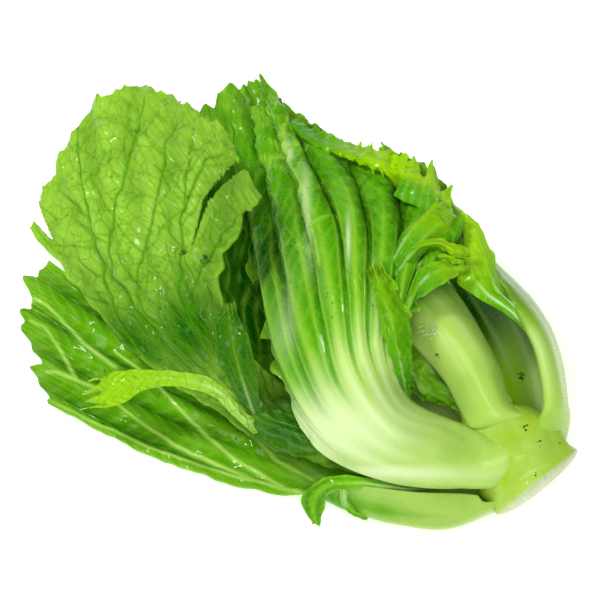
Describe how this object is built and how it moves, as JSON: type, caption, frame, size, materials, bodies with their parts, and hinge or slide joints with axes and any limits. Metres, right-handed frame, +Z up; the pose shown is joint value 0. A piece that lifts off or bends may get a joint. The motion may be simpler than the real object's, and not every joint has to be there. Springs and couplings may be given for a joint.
{
  "type": "mustard greens",
  "caption": "Cut head of leafy mustard greens lying on its side: thick cupped stalks on a pale stump open into broad pleated leaves with waved, toothed margins.",
  "frame": {"origin": "on the table, under the middle of the head's bounding box", "axes": "+X along the head from its leaf tips to its cut stump, +Y to the side of the right leaf, +Z up"},
  "size_m": [0.3192, 0.2294, 0.0989],
  "materials": {
    "stump": "pale green, wet skin with a white cut face",
    "front_leaf": "pale glossy stalk opening into a bright green pleated blade",
    "top_leaf": "smooth pale stalk, satin, green towards its tip",
    "right_leaf": "thick pale rim round a darker green hollow",
    "lower_leaf": "deep green with long pale veins, wet gloss",
    "broad_leaf": "mid green blade with a net of veins, wet gloss",
    "back_leaf": "deep green with pale veins, wet gloss",
    "heart_leaf_outer": "bright green, tightly crinkled",
    "heart_leaf_inner": "light yellow-green, crinkled"
  },
  "bodies": {
    "root": {"stump": "stump", "front_leaf": "front_leaf", "top_leaf": "top_leaf", "right_leaf": "right_leaf", "lower_leaf": "lower_leaf", "broad_leaf": "broad_leaf", "back_leaf": "back_leaf", "heart_leaf_outer": "heart_leaf_outer", "heart_leaf_inner": "heart_leaf_inner"}
  },
  "joints": []
}
